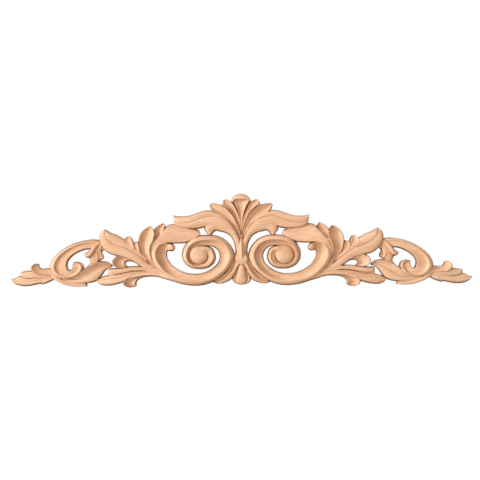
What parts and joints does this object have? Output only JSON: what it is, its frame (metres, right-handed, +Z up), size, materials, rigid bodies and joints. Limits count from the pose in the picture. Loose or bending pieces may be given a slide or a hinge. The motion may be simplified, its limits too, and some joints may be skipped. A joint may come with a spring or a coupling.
{
  "type": "carved headpiece",
  "caption": "Pierced carved wood onlay: a palmette between mirrored scrolls and acanthus leaves, tapering to pointed ends, with a flat back.",
  "frame": {"origin": "on the flat back, on the centre line at half the height", "axes": "+X along the length, +Z up, +Y out of the flat back, so the carved front faces -Y"},
  "size_m": [0.6, 0.02, 0.1209],
  "materials": {
    "wood": "bare sanded pale hardwood"
  },
  "bodies": {
    "root": {"headpiece": "wood"}
  },
  "joints": []
}
